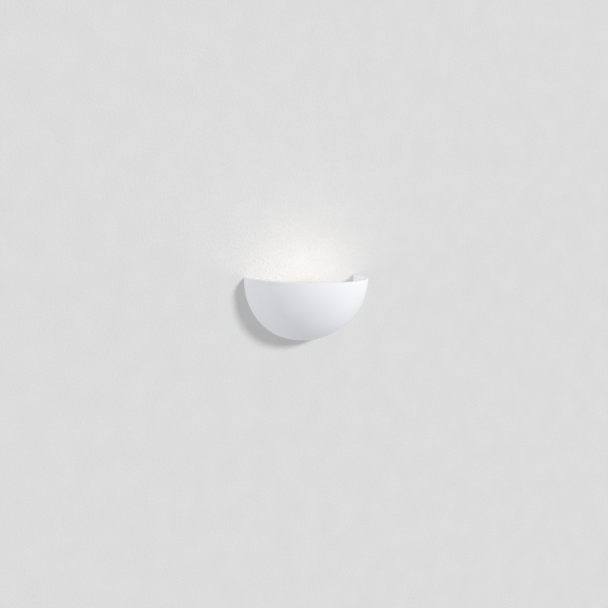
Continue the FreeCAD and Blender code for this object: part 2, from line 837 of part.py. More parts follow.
def make_wires():
    """Live and neutral go down, under the plate and up through the nipple. Earth goes over."""
    way = [across.value for across in way_places()]
    out = -s.way_out.value
    apart, hole = s.wire_apart.value, s.terminal_place.value
    end = s.insert_bottom.value + 4
    wire("live_wire", [
        (way[0], out, -4), (way[0], out, -28), (-44, -8, -52), (-22, -5, -66),
        (-apart - 1, -7, -69.5), lamp_point(-apart, -12), lamp_point(-apart, 8),
        lamp_point(-hole, 14), lamp_point(-hole, end),
    ])
    wire("neutral_wire", [
        (way[1], out, -4), (way[1], out, -24), (-36, -8.5, -44), (-20, -5, -60),
        (apart - 1, -7, -66), lamp_point(apart, -12), lamp_point(apart, 8),
        lamp_point(hole, 14), lamp_point(hole, end),
    ])
    end_x, end_y = s.earth_place.value, -earth_wire_out().value
    wire("earth_wire", [
        (way[2], out, 4), (way[2], out, 16), (-24, -9, 26), (0, -8.5, 27.5), (24, -8, 27),
        (48, -6.5, 24), (end_x, end_y, 16), (end_x, end_y, 8),
    ])


# ---------------------------------------------------------------------------
# Lampholder, in the lamp's frame
# ---------------------------------------------------------------------------


def make_nipple():
    """Hollow threaded tube, with a toothed washer and a nut under the arm's tab."""
    tube = ring(s.nipple_bore, s.nipple_radius, -s.nipple_below, s.nipple_above)
    turned_part("lamp_nipple", tube, lamp=True)
    washer = toothed_washer("nipple_washer", s.nipple_radius, s.washer_radius, s.washer_thickness)
    drop = s.arm_thickness + s.washer_thickness
    tilt = math.radians(s.lamp_tilt.value)
    place(washer, 0, drop * math.sin(tilt) - s.lamp_out, -drop * math.cos(tilt) - s.lamp_down,
          (1, 0, 0), s.lamp_tilt.value)
    nut = new_body("nipple_nut")
    hexagon = new_sketch(nut, "XY_Plane", -drop - s.nut_thickness)
    half_side, flat = 0.5 * s.nut_circumradius, math.cos(math.radians(30)) * s.nut_circumradius
    wide = s.nut_circumradius
    draw_loop(hexagon, [(wide, 0), (half_side, flat), (-half_side, flat), (-wide, 0),
                        (-half_side, -flat), (half_side, -flat)])
    draw_circle(hexagon, 0, 0, s.nipple_radius)
    pad(nut, hexagon, s.nut_thickness)
    in_lamp_frame(keep(nut, "nipple_nut"))


def thread_start():
    """Height where the bulb's thread begins."""
    return s.bulb_tip + 8


def helical_rib(body, corners):
    """Screw thread: the outline in x and z, carried round the body's z on a right-hand helix."""
    sketch = new_sketch(body, "XZ_Plane")
    draw_loop(sketch, corners)
    rib = body.newObject("PartDesign::AdditiveHelix", "Thread")
    rib.Profile = sketch
    rib.ReferenceAxis = (sketch, ["V_Axis"])
    rib.Mode = "pitch-turns-angle"
    rib.setExpression("Pitch", s.thread_pitch.text)
    rib.setExpression("Turns", s.thread_turns.text)
    return rib


def make_lampholder_housing():
    """Cap that screws on the nipple, and the fluted barrel that screws on the cap."""
    inner = s.cap_thread_radius - 2
    turned_part("lampholder_cap", [
        (s.nipple_radius, 0), (s.cap_radius - s.cap_chamfer, 0), (s.cap_radius, s.cap_chamfer),
        (s.cap_radius, s.cap_height), (s.cap_thread_radius, s.cap_height),
        (s.cap_thread_radius, s.cap_thread_top), (inner, s.cap_thread_top), (inner, s.cap_floor),
        (s.cap_neck_radius, s.cap_floor), (s.cap_neck_radius, s.nipple_above),
        (s.nipple_radius, s.nipple_above),
    ], lamp=True)
    barrel = new_body("lampholder_barrel")
    bore = s.cap_thread_radius + 0.1
    turn(barrel, [
        (bore, s.cap_height + 0.3), (s.barrel_radius, s.cap_height + 0.3),
        (s.barrel_radius, s.barrel_top - s.barrel_chamfer),
        (s.barrel_radius - s.barrel_chamfer, s.barrel_top),
        (s.barrel_bore, s.barrel_top), (s.barrel_bore, s.shell_bottom), (bore, s.shell_bottom - 2.5),
    ])
    flute = new_sketch(barrel, "XY_Plane", s.flute_bottom)
    draw_circle(flute, s.flute_out, 0, s.flute_radius)
    polar(barrel, pocket(barrel, flute, s.flute_length, along_normal=True), s.flute_count)
    in_lamp_frame(keep(barrel, "lampholder_barrel"))


def make_lampholder_insert():
    """Ceramic core with two wells for the terminals and a cross hole for their screws."""
    insert = new_body("lampholder_insert")
    wide, low, high = s.insert_body_radius, s.insert_bottom, s.insert_top
    turn(insert, [(0, low), (wide, low), (wide, high - 3), (wide - 2.5, high), (0, high)])
    wells = new_sketch(insert, "XY_Plane", low)
    half = s.terminal_half
    for side in (-1, 1):
        middle = side * s.terminal_place
        draw_loop(wells, [(middle - half, -half), (middle + half, -half), (middle + half, half),
                          (middle - half, half)])
    pocket(insert, wells, s.terminal_height, along_normal=True)
    taps = new_sketch(insert, "YZ_Plane", -wide)
    draw_circle(taps, 0, low + 0.5 * s.terminal_height, s.m3_radius + 0.1)
    pocket(insert, taps, 2 * wide, along_normal=True)
    in_lamp_frame(keep(insert, "lampholder_insert"))


def make_lampholder_shell():
    """Metal sleeve inside the barrel with the E27 thread, half a pitch off the bulb's own."""
    shell = new_body("lampholder_shell")
    turn(shell, ring(s.shell_inside, s.shell_outside, s.shell_bottom, s.shell_top))
    start = thread_start() - 0.5 * s.thread_pitch
    root_radius, crest = s.shell_inside + 0.1, s.shell_inside - s.shell_rib_depth
    foot, tip = s.shell_rib_half_width, 0.4 * s.shell_rib_half_width
    helical_rib(shell, [(crest, start - tip), (root_radius, start - foot), (root_radius, start + foot),
                        (crest, start + tip)])
    in_lamp_frame(keep(shell, "lampholder_shell"))


def make_lampholder_contacts():
    """Terminals and their screws, and the springs that touch the bulb's tip and shell."""
    blocks, screws = [], []
    half, low = s.terminal_half, s.insert_bottom
    middle = low + 0.5 * s.terminal_height
    thread = s.m3_radius - 0.3
    for side, outward, inward in ((-1, LEFTWARD, RIGHTWARD), (1, RIGHTWARD, LEFTWARD)):
        across = side * s.terminal_place
        brass = block("brass", (across - half, -half, low), (across + half, half, low + s.terminal_height))
        hole = rod("hole", s.wire_radius, s.terminal_height, across, 0, low)
        edge = across + side * half
        tap = rod("tap", thread, half, edge, 0, middle, *inward)
        blocks.append(cut("terminal", brass, [hole, tap]))
        screws.append(screw("terminal_screw", thread, s.m3_radius, Size(1), half - 1.4,
                            edge, 0, middle, outward))
    in_lamp_frame(group("lampholder_terminals", blocks))
    in_lamp_frame(group("lampholder_terminal_screws", screws))
    top, thick = s.insert_top, s.contact_thickness
    strip = block("strip", (-8, -2.5, top), (8, 2.5, top + thick))
    tongue = block("tongue", (-3, -2.5, top + thick), (3, 2.5, s.bulb_tip - 0.05))
    centre = doc.addObject("Part::MultiFuse", "lampholder_centre_contact")
    centre.Shapes = [strip, tongue]
    in_lamp_frame(keep(centre, "lampholder_centre_contact"))
    side_strip = block("side_strip", (9.5, -2, top), (s.shell_inside, 2, s.shell_bottom))
    in_lamp_frame(group("lampholder_side_contact", [side_strip]))


# ---------------------------------------------------------------------------
# Bulb, in the lamp's frame
# ---------------------------------------------------------------------------


def make_bulb_cap():
    """Tip contact, black insulator and the threaded shell."""
    tip, core, wall = s.bulb_tip, s.cap_core_radius, s.cap_shell_wall
    solder_top = tip + s.tip_thickness
    turned_part("bulb_tip_contact", [
        (0, tip), (s.tip_radius - 1.5, tip), (s.tip_radius, tip + s.tip_edge),
        (s.tip_radius, solder_top), (0, solder_top),
    ], lamp=True)
    glass_top = tip + s.cap_insulator_height
    turned_part("bulb_cap_insulator", [
        (0, solder_top), (s.tip_radius + 0.6, solder_top), (core - 0.9, glass_top - 2),
        (core - wall, glass_top), (0, glass_top),
    ], lamp=True)
    shell = new_body("bulb_cap_shell")
    crimp = tip + s.cap_shell_end
    turn(shell, [
        (core - wall, glass_top), (core - wall, glass_top - 1.8), (core, glass_top - 1.4),
        (core, crimp), (core - wall, crimp),
    ])
    start = thread_start()
    foot, tip_width = s.cap_rib_half_width, 0.3 * s.cap_rib_half_width
    helical_rib(shell, [(core - 0.1, start - foot), (s.cap_crest_radius, start - tip_width),
                        (s.cap_crest_radius, start + tip_width), (core - 0.1, start + foot)])
    in_lamp_frame(keep(shell, "bulb_cap_shell"))


def make_bulb_body():
    """Housing crimped in the cap shell, the opal globe, and the electronics inside."""
    neck, wall, top, wide = s.neck_radius, s.housing_wall, s.housing_top, s.housing_radius
    base = s.bulb_tip + s.housing_base
    neck_end = base - s.neck_length
    turned_part("bulb_housing", [
        (neck, neck_end), (neck, base), (neck + 2.5, base), (neck + 4, base + 3),
        (wide, top - 4), (wide, top), (wide - wall, top), (wide - wall, top - 3.6),
        (neck + 2.6, base + 3.4), (neck - wall, base + 0.6), (neck - wall, neck_end),
    ], lamp=True)
    centre = s.bulb_tip + s.bulb_length - s.globe_radius
    lip = top + 0.1
    drop = centre - lip
    outer, inner = s.globe_radius, s.globe_radius - s.globe_wall
    outer_lip = root(outer * outer - drop * drop)
    inner_lip = root(inner * inner - drop * drop)
    turned_part("bulb_globe", [
        (outer_lip, lip), (0, centre + outer, outer), (0, centre + inner), (inner_lip, lip, -inner),
    ], lamp=True)
    board_top = s.board_bottom + s.board_thickness
    disc = ring(s.board_hole_radius, s.board_radius, s.board_bottom, board_top)
    turned_part("led_board", disc, lamp=True)
    make_led_chips()
    make_driver(base)


def make_led_chips():
    """Light-emitting packages in a ring on the board."""
    chip = new_body("chip")
    sketch = new_sketch(chip, "XY_Plane", s.board_bottom + s.board_thickness)
    half = 0.5 * s.chip_side
    draw_loop(sketch, [(s.chip_circle - half, -half), (s.chip_circle + half, -half),
                       (s.chip_circle + half, half), (s.chip_circle - half, half)])
    pad(chip, sketch, s.chip_height)
    chips = []
    for number in range(int(s.chip_count.value)):
        copy = doc.addObject("App::Link", f"chip_{number}")
        copy.LinkedObject = chip
        copy.Placement = Placement(Vector(), Rotation(Vector(0, 0, 1), 360 * number / s.chip_count.value))
        chips.append(copy)
    in_lamp_frame(group("led_chips", chips))


def make_driver(base):
    """Small circuit board on edge in the neck, with a capacitor, a coil and a chip."""
    half_width, thick = s.neck_radius - s.housing_wall - 1.5, 1.6
    board = block("board", (-half_width, 0, base - 13), (half_width, thick, base + 10))
    in_lamp_frame(group("driver_board", [board]))
    capacitor = rod("capacitor", 3.2, 9, 0, -3.3, base - 11)
    coil = block("coil", (-4, -5.5, base), (3, 0, base + 6.5))
    chip = block("converter", (-2.5, thick, base - 4), (2.5, thick + 1.4, base + 1))
    in_lamp_frame(group("driver_parts", [capacitor, coil, chip]))


# ---------------------------------------------------------------------------
# Build, check and write
# ---------------------------------------------------------------------------


def check(document):
    """Stop if any object failed, any cut took nothing away or any sub-part is unsound."""
    document.recompute()
    failed = [item for item in document.Objects if {"Invalid", "Error"} & set(item.State)]
    if failed:
        owners = [f"{item.Label} in {[parent.Label for parent in item.InList]}" for item in failed]
        raise RuntimeError("failed: " + "; ".join(owners))
    for item in document.Objects:
        if item.TypeId == "PartDesign::Pocket" and item.BaseFeature:
            taken = item.BaseFeature.Shape.Volume - item.Shape.Volume
            if taken < 0.01:
                raise RuntimeError(f"{item.Label} cuts nothing")
    for piece in subparts:
        if piece.Shape.isNull() or not piece.Shape.isValid() or piece.Shape.Volume <= 0:
            raise RuntimeError(f"{piece.Label} is not a sound solid")


def write(folder):
    os.makedirs(folder, exist_ok=True)
    for piece in subparts:
        piece.Shape.exportStep(f"{folder}/{piece.Label}.step")
        print(f"{piece.Label}: {len(piece.Shape.Solids)} solid, {piece.Shape.Volume:.1f} mm3")


make_shade()
make_hanger()
make_wall_pads()
make_wall_plate()
make_cable_bush()
make_lamp_arm()
make_plate_screws()
make_earth_parts()
make_terminal_block()
make_terminal_ways()
make_nipple()
make_lampholder_housing()
make_lampholder_insert()
make_lampholder_shell()
make_lampholder_contacts()
make_bulb_cap()
make_bulb_body()
make_wires()
check(doc)
write("parts")
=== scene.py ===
# %% [markdown]
# # A half-bowl wall light
#
# The object is a cast ceramic bowl, cut in half, that hangs on a steel plate and hides a
# lampholder and an LED bulb. Its light goes up the wall. The solids of every piece come ready
# made and in their places. This script gives them their finishes, and it makes the smooth
# shells anew as fine surfaces, because a shell that is plain and white shows every facet.

# %% Load the ready-made solids
import json
import math

import bmesh
import bpy
import numpy as np
from mathutils import Matrix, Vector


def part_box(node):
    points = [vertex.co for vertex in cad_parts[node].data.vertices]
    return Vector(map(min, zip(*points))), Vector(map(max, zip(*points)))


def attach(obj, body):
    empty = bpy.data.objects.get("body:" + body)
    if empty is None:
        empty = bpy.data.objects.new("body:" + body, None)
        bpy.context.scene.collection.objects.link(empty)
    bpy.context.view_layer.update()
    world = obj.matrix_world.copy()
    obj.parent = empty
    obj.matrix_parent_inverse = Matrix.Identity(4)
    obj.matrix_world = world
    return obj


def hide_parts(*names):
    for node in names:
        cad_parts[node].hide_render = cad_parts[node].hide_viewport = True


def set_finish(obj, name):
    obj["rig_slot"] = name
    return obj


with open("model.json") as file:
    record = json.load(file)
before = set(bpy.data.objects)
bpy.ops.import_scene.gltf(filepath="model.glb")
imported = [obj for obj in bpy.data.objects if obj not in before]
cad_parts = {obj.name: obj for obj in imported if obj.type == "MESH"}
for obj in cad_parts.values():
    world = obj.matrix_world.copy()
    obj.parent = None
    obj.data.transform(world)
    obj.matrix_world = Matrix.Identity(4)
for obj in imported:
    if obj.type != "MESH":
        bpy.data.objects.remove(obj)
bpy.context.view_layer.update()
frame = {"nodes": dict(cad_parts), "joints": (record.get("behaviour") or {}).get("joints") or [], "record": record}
record = frame["record"]
MM = 0.001

# %% [markdown]
# ## Measures
#
# The bowl is the front half of a spheroid's lower half, so three half axes describe it, and
# the solid's box gives them. The lamp leans forward, so it gets a frame of its own: a point
# on its axis and the axis itself, which the bulb's turning joint already holds. A piece of
# the lamp is then measured by how far it reaches along that axis and how far it stands out
# from it.

# %% Read the sizes from the solids
low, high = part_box("shade")
HALF_WIDTH, DEPTH, RIM = high.x, -low.y, high.z
DROP = RIM - low.z
GAP = -high.y
WALL = 8 * MM
RIM_ROUND = 1.2 * MM

turning = next(joint for joint in frame["joints"] if joint["name"] == "bulb_turn")
LAMP_FOOT = np.array(turning["pos_m"], float)
LAMP_AXIS = np.array(turning["axis"], float)
LAMP_RIGHT = np.array([1.0, 0.0, 0.0])
LAMP_BACK = np.cross(LAMP_AXIS, LAMP_RIGHT)
PITCH = record["behaviour"]["couplings"][0]["ratio"] * 2 * math.pi


def reach(node):
    """Lowest and highest place of a solid along the lamp's axis, and its largest radius."""
    mesh = frame["nodes"][node].data
    corners = np.empty(len(mesh.vertices) * 3)
    mesh.vertices.foreach_get("co", corners)
    away = corners.reshape(-1, 3) - LAMP_FOOT
    along = away @ LAMP_AXIS
    out = np.linalg.norm(away - along[:, None] * LAMP_AXIS, axis=1)
    return along.min(), along.max(), out.max()


across_mm, down_mm, out_mm = 2 * HALF_WIDTH / MM, DROP / MM, DEPTH / MM
print(f"bowl {across_mm:.0f} x {down_mm:.0f} x {out_mm:.0f} mm, thread pitch {PITCH / MM:.2f} mm")

# %% [markdown]
# ## Surfaces from grids
#
# A surface that follows a rule is a function of two numbers, like the rows and columns of a
# sheet of squared paper that is bent into shape. All the points are worked out at once as
# one array. The faces are always the same squares between neighbours, so one helper makes
# the mesh for every piece: it joins the squares, closes seams and poles, and turns the faces
# outwards. Points closer than a few thousandths of a millimetre are one point.

# %% The helper that makes a mesh from grids
SAME_POINT = 0.004 * MM
NO_LENGTH = 0.002 * MM


def surface(name, sheets, sharp_above=40):
    """One mesh from several sheets of rows x columns x 3 points. Corners that meet are merged."""
    points, quads, start = [], [], 0
    for sheet in sheets:
        rows, columns = sheet.shape[:2]
        index = start + np.arange(rows * columns).reshape(rows, columns)
        square = [index[:-1, :-1], index[:-1, 1:], index[1:, 1:], index[1:, :-1]]
        quads.append(np.stack(square, axis=-1).reshape(-1, 4))
        points.append(sheet.reshape(-1, 3))
        start += rows * columns
    mesh = bpy.data.meshes.new(name)
    mesh.from_pydata(np.vstack(points).tolist(), [], np.vstack(quads).tolist())
    work = bmesh.new()
    work.from_mesh(mesh)
    bmesh.ops.remove_doubles(work, verts=work.verts, dist=SAME_POINT)
    bmesh.ops.dissolve_degenerate(work, edges=work.edges, dist=NO_LENGTH)
    bmesh.ops.recalc_face_normals(work, faces=work.faces)
    work.to_mesh(mesh)
    work.free()
    mesh.polygons.foreach_set("use_smooth", np.ones(len(mesh.polygons), bool))
    mesh.set_sharp_from_angle(angle=math.radians(sharp_above))
    piece = bpy.data.objects.new(name, mesh)
    bpy.context.scene.collection.objects.link(piece)
    print(f"{name}: {len(mesh.polygons)} faces")
    return piece


def stands_for(piece, body, slot, *nodes):
    """The new piece moves with the body and is shown in place of these solids."""
    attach(piece, body)
    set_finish(piece, slot)
    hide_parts(*nodes)


# %% [markdown]
# ## The bowl
#
# The real bowl is cast in a mould, and its mouth and back edge are rubbed flat. A quarter
# curve revolved about the wall's normal would put the pole of the grid on the most visible
# part of the rim. Turned about the upright axis, the grid has its pole at the bottom of the
# back edge, which nobody sees. The two numbers are the turn round that axis and the place
# along the wall's section, which runs from the outside up over the rounded rim and down the
# inside.


# %% The bowl's section and its sweep
def bowl_section(steps=90, round_steps=6):
    """How deep in the wall, and how far below the rim, the section runs.

    A quarter circle leads from the side to the flat rim: depth = r (1 - cos t) and
    drop = r (1 - sin t). The inside is the same again, seen from the other side of the wall.
    """
    t = np.linspace(0, math.pi / 2, round_steps)
    corner = np.stack([RIM_ROUND * (1 - np.cos(t)), RIM_ROUND * (1 - np.sin(t))], axis=1)
    lowest = math.sqrt(1 - (GAP / DEPTH) ** 2)
    first = math.asin(RIM_ROUND / DROP)
    slope = np.sin(np.linspace(math.asin(lowest), first, steps)[:-1])
    outer = np.stack([np.zeros(steps - 1), slope * DROP], axis=1)
    half = np.vstack([outer, corner])
    other = half[::-1].copy()
    other[:, 0] = WALL - other[:, 0]
    lowest_inside = math.sqrt(1 - (GAP / (DEPTH - WALL)) ** 2) * (DROP - WALL)
    other[:, 1] *= lowest_inside / other[-1, 1]
    other[:round_steps, 1] = corner[::-1, 1]
    return np.vstack([half, other])


def bowl_points(section, columns=192):
    """x = (a - w) cos b cos t, y = -(d - w) cos b sin t and z = rim - drop.

    Here a, d and c are the half axes, w is the depth in the wall, sin b = drop / (c - w), and
    t runs from one back edge to the other.
    """
    depth, drop = section[:, :1], section[:, 1:]
    cos_b = np.sqrt(np.clip(1 - (drop / (DROP - depth)) ** 2, 0, None))
    reach_out = np.maximum((DEPTH - depth) * cos_b, GAP)
    start = np.arcsin(np.clip(GAP / reach_out, 0, 1))
    share = np.linspace(0, 1, columns)[None, :]
    turn = start + share * (math.pi - 2 * start)
    x = (HALF_WIDTH - depth) * cos_b * np.cos(turn)
    y = -reach_out * np.sin(turn)
    z = np.broadcast_to(RIM - drop, x.shape)
    return np.stack([x, y, z], axis=-1)


shell = bowl_points(bowl_section())
half_rows = len(shell) // 2
back_edges = [
    np.stack([shell[:half_rows, side], shell[::-1][:half_rows, side]]) for side in (0, -1)]
bowl = surface("bowl", [shell] + back_edges, sharp_above=50)
stands_for(bowl, "shade", "white_ceramic", "shade")

# %% [markdown]
# ## The bosses
#
# Inside each end of the bowl a solid boss is cast on, and the screws that the bowl hangs on
# go into it. A rounded block has a short formula: push the points of a small ball apart
# into eight corners, and the stretched squares between them become the flat sides. The
# outer end of each block follows the middle of the bowl's wall, so it grows out of it. The
# brass insert's face stands a quarter of a millimetre proud of the boss, so that it shows.

# %% Two rounded blocks that grow out of the wall
insert_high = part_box("shade_inserts")[1]
INSERT_LENGTH, INSERT_PROUD = 13 * MM, 0.25 * MM
BOSS_FACE = insert_high.x - INSERT_LENGTH + INSERT_PROUD
BOSS_HALF_LENGTH, BOSS_FRONT = 15 * MM, 26 * MM
BOSS_TOP, BOSS_BOTTOM, BOSS_ROUND = 18 * MM, -8 * MM, 3 * MM
ASIDE = 1e-4


def rounded_block(half, radius, steps=24):
    """corner = (half - r) sign(d) + r d, for every direction d of a ball.

    The directions are a hair aside of the axes, where the sign would be nought.
    """
    tilt = np.linspace(ASIDE, math.pi - ASIDE, 2 * steps)[:, None]
    turn = np.linspace(ASIDE, 2 * math.pi + ASIDE, 4 * steps + 1)[None, :]
    across, deep = np.sin(tilt) * np.cos(turn), np.sin(tilt) * np.sin(turn)
    ball = np.stack([across, deep, np.cos(tilt) + 0 * turn], axis=-1)
    block = np.sign(ball) * (np.array(half) - radius) + radius * ball
    cap = np.zeros((1,) + block.shape[1:])
    top, bottom = cap.copy(), cap.copy()
    top[..., 2], bottom[..., 2] = half[2], -half[2]
    return np.vstack([top, block, bottom])


def boss(side):
    """A rounded block whose outer end is bent to the middle of the bowl's wall.

    There x = a sqrt(1 - (drop / c)^2 - (y / d)^2), with the half axes of the wall's middle.
    """
    middle = np.array([0, -(BOSS_FRONT + GAP) / 2, (BOSS_TOP + BOSS_BOTTOM) / 2])
    half = [BOSS_HALF_LENGTH, (BOSS_FRONT - GAP) / 2, (BOSS_TOP - BOSS_BOTTOM) / 2]
    block = rounded_block(half, BOSS_ROUND)
    y, z = block[..., 1] + middle[1], block[..., 2] + middle[2]
    inside_wall = WALL / 2
    level = 1 - ((RIM - z) / (DROP - inside_wall)) ** 2 - (y / (DEPTH - inside_wall)) ** 2
    end = (HALF_WIDTH - inside_wall) * np.sqrt(level)
    near = block[..., 0] + half[0]
    x = np.where(block[..., 0] < 0, BOSS_FACE + near, end - (2 * half[0] - near))
    return np.stack([side * x, y, z], axis=-1)


bosses = surface("bowl_bosses", [boss(1), boss(-1)])
stands_for(bosses, "shade", "white_ceramic", "shade")

# %% [markdown]
# ## Turned shapes of the lamp
#
# The bulb and its holder are round, so each is an outline carried round the lamp's axis. The
# outline is drawn with straight pieces, as a turner would, and each corner is then eased
# with a small curve, because no moulded or pressed edge is truly sharp. The corners are
# written as on a drawing: a radius and a height, each with a few millimetres added.


# %% Draw an outline, ease it, and carry it round the axis
def drawn(*corners):
    """Each corner is radius, millimetres added to it, height, millimetres added to it."""
    return [(radius + out * MM, height + up * MM) for radius, out, height, up in corners]


def eased(corners, radius, steps=5):
    """Each inner corner c becomes (1 - t)^2 p + 2 t (1 - t) c + t^2 q.

    The points p and q lie on its two sides, one radius away or nearly halfway along them.
    """
    corners = np.array(corners, float)
    nearly_half = 0.45
    t = np.linspace(0, 1, steps)[:, None]
    outline = [corners[:1]]
    for before, corner, after in zip(corners, corners[1:], corners[2:]):
        to_before, to_after = before - corner, after - corner
        far_before, far_after = np.linalg.norm(to_before), np.linalg.norm(to_after)
        back = min(radius, nearly_half * far_before, nearly_half * far_after)
        start = corner + to_before / far_before * back
        end = corner + to_after / far_after * back
        outline.append((1 - t) ** 2 * start + 2 * t * (1 - t) * corner + t ** 2 * end)
    outline.append(corners[-1:])
    return np.vstack(outline)


def turned(outline, columns=128, wave=None):
    """Point = foot + r cos t right + r sin t back + h axis, with wave(h, t) added to r."""
    outline = np.asarray(outline)
    turn = np.linspace(0, 2 * math.pi, columns + 1)[None, :]
    radius, height = outline[:, :1] + 0 * turn, outline[:, 1:] + 0 * turn
    if wave is not None:
        radius = radius + wave(height, turn)
    across = radius * np.cos(turn)
    deep = radius * np.sin(turn)
    return (LAMP_FOOT + across[..., None] * LAMP_RIGHT + deep[..., None] * LAMP_BACK
            + height[..., None] * LAMP_AXIS)


# %% [markdown]
# ## The bulb
#
# An LED golf-ball bulb has an opal plastic dome on a white housing that narrows to the
# screw cap. The dome is part of a ball, and its inside is the same curve drawn a little
# smaller. The housing is injection moulded, with generous corners.

# %% Dome
GLOBE_WALL = 1.2 * MM
globe_low, globe_high, GLOBE_RADIUS = reach("bulb_globe")
globe_middle = globe_high - GLOBE_RADIUS
lip_angle = math.asin((globe_low - globe_middle) / GLOBE_RADIUS)
latitude = np.linspace(lip_angle, math.pi / 2, 60)
dome_out = GLOBE_RADIUS * np.cos(latitude)
dome_up = globe_middle + GLOBE_RADIUS * np.sin(latitude)
dome = np.stack([dome_out, dome_up], axis=1)
inner_scale = (GLOBE_RADIUS - GLOBE_WALL) / GLOBE_RADIUS
inside_dome = dome[::-1].copy()
inside_dome[:, 0] *= inner_scale
inside_dome[:, 1] = globe_middle + (inside_dome[:, 1] - globe_middle) * inner_scale
inside_dome[-1, 1] = globe_low
globe = surface("bulb_dome", [turned(np.vstack([dome[:1], dome, inside_dome, dome[:1]]))])
stands_for(globe, "bulb", "opal_polycarbonate", "bulb_globe")

# %% Housing
housing_low, housing_high, HOUSING_RADIUS = reach("bulb_housing")
cap_low, cap_high, CREST = reach("bulb_cap_shell")
neck = CREST - 1.6 * MM
collar = cap_high + 0.3 * MM
housing_outline = eased(drawn(
    (neck, 0, housing_low, 0), (neck, 0, collar, 0), (neck, 2.5, collar, 0),
    (neck, 4, collar, 3), (neck, 6.4, collar, 9), (HOUSING_RADIUS, -0.4, housing_high, -5),
    (HOUSING_RADIUS, 0, housing_high, 0), (HOUSING_RADIUS, -1.4, housing_high, 0),
    (HOUSING_RADIUS, -1.4, housing_high, -3.6), (neck, 2.6, collar, 3.4),
    (neck, -1.4, collar, 0.6), (neck, -1.4, housing_low, 0), (neck, 0, housing_low, 0),
), 3 * MM)
housing = surface("bulb_body", [turned(housing_outline)])
stands_for(housing, "bulb", "white_polycarbonate", "bulb_housing")

# %% [markdown]
# ## The screw cap
#
# The cap is thin nickelled brass with a rolled thread: a smooth wave that climbs one pitch
# in each turn. The wave is a formula in height and angle, so the thread comes out as a true
# helix with no modelling at all. Only the outside of the thin shell carries it.

# %% Screw cap with its rolled thread
CORE = 12.15 * MM
THREAD_START = reach("bulb_tip_contact")[0] + 8 * MM
THREAD_TURNS = 3.5
THREAD_ROWS = 150


def rolled_thread(height, turn):
    """(crest - core) ((1 + cos(2 pi h / pitch - t)) / 2)^1.5, faded in and out over a pitch.

    The power makes the crests narrower than the hollows between them.
    """
    swing = 0.5 * (1 + np.cos(2 * math.pi * (height - THREAD_START) / PITCH - turn))
    begins = np.clip((height - THREAD_START + PITCH) / PITCH, 0, 1)
    ends = np.clip((THREAD_START + (THREAD_TURNS + 1) * PITCH - height) / PITCH, 0, 1)
    return (CREST - CORE) * swing ** 1.5 * begins * ends


thread_heights = np.linspace(cap_low + 0.6 * MM, cap_high, THREAD_ROWS)
foot_of_cap = drawn((CORE, -1.2, cap_low, 1.8), (CORE, -0.9, cap_low, 0.1))
inside_of_cap = drawn(
    (CORE, -0.5, cap_high, 0), (CORE, -0.5, cap_low, 2), (CORE, -1.2, cap_low, 1.8))
outside_of_cap = np.stack([np.full(THREAD_ROWS, CORE), thread_heights], axis=1)
cap_outline = np.vstack([foot_of_cap, outside_of_cap, inside_of_cap])
thread_rows = np.zeros((len(cap_outline), 1))
thread_rows[len(foot_of_cap):len(foot_of_cap) + THREAD_ROWS] = 1


def cap_wave(height, turn):
    """The rolled thread, on the outside of the shell alone."""
    return rolled_thread(height, turn) * thread_rows


cap = surface("bulb_screw_cap", [turned(cap_outline, wave=cap_wave)])
stands_for(cap, "bulb", "nickel_plate", "bulb_cap_shell")

# %% [markdown]
# ## The lampholder
#
# The holder's cap and barrel are moulded in white thermoset. The barrel has a band of
# flutes for the fingers. They are another wave in the turned surface: the radius dips
# between ribs, and the dips fade out at both ends of the band.

# %% Fluted barrel
barrel_low, barrel_high, BARREL_RADIUS = reach("lampholder_barrel")
BULB_BORE, CAP_BORE = 13.9 * MM, 17.5 * MM
FLUTES, FLUTE_DEPTH, FLUTE_FADE = 24, 0.9 * MM, 1.2 * MM
BAND = (barrel_low + 1.7 * MM, barrel_low + 17.7 * MM)
BAND_ROWS = 40


def flutes(height, turn):
    """-depth ((1 + cos(n t)) / 2)^2, only on the outside and between the band's two ends."""
    dip = FLUTE_DEPTH * (0.5 + 0.5 * np.cos(FLUTES * turn)) ** 2
    begins = np.clip((height - BAND[0]) / FLUTE_FADE, 0, 1)
    ends = np.clip((BAND[1] - height) / FLUTE_FADE, 0, 1)
    return -dip * begins * ends * flute_rows


band_heights = np.linspace(BAND[0] - 1 * MM, BAND[1] + 1 * MM, BAND_ROWS)
foot_part = eased(drawn(
    (CAP_BORE, 0, barrel_low, 0), (BARREL_RADIUS, 0, barrel_low, 0),
    (BARREL_RADIUS, 0, band_heights[0], 0)), 0.6 * MM)
band_part = np.stack([np.full(BAND_ROWS, BARREL_RADIUS), band_heights], axis=1)[1:]
top_part = eased(drawn(
    (BARREL_RADIUS, 0, band_heights[-1], 0.1), (BARREL_RADIUS, 0, barrel_high, 0),
    (BULB_BORE, 0, barrel_high, 0), (BULB_BORE, 0, barrel_low, 12.7),
    (CAP_BORE, 0, barrel_low, 10.2), (CAP_BORE, 0, barrel_low, 0)), 1.2 * MM)
barrel_outline = np.vstack([foot_part, band_part, top_part])
flute_rows = np.zeros((len(barrel_outline), 1))
flute_rows[len(foot_part):len(foot_part) + len(band_part)] = 1
barrel = surface("holder_barrel", [turned(barrel_outline, columns=8 * FLUTES, wave=flutes)])
stands_for(barrel, "wall_bracket", "white_phenolic", "lampholder_barrel")

